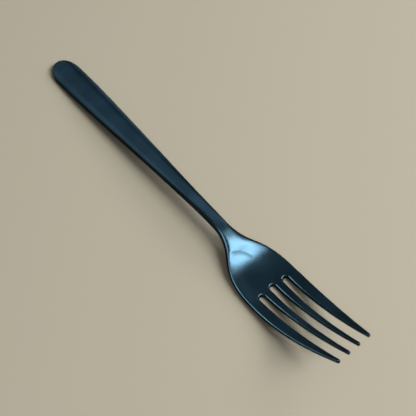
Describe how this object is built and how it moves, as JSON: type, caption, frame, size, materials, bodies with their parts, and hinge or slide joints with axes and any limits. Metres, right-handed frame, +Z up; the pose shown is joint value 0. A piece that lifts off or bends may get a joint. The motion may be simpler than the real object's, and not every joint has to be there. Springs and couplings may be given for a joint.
{
  "type": "dinner fork",
  "caption": "One-piece dinner fork with a slender tapering handle, a narrow neck and a shallow dished head cut into long upturned tines, for piercing and lifting food.",
  "frame": {"origin": "on the table under the middle of the fork: halfway along its length, on its mirror plane, at the height of the table it lies on", "axes": "+X along the fork from the handle to the tines, +Y across it, +Z up from the table, with the hollow of the head upward"},
  "size_m": [0.1988, 0.026, 0.0214],
  "materials": {
    "black_steel": "satin black coating on stainless steel"
  },
  "bodies": {
    "root": {"fork": "black_steel"}
  },
  "joints": []
}
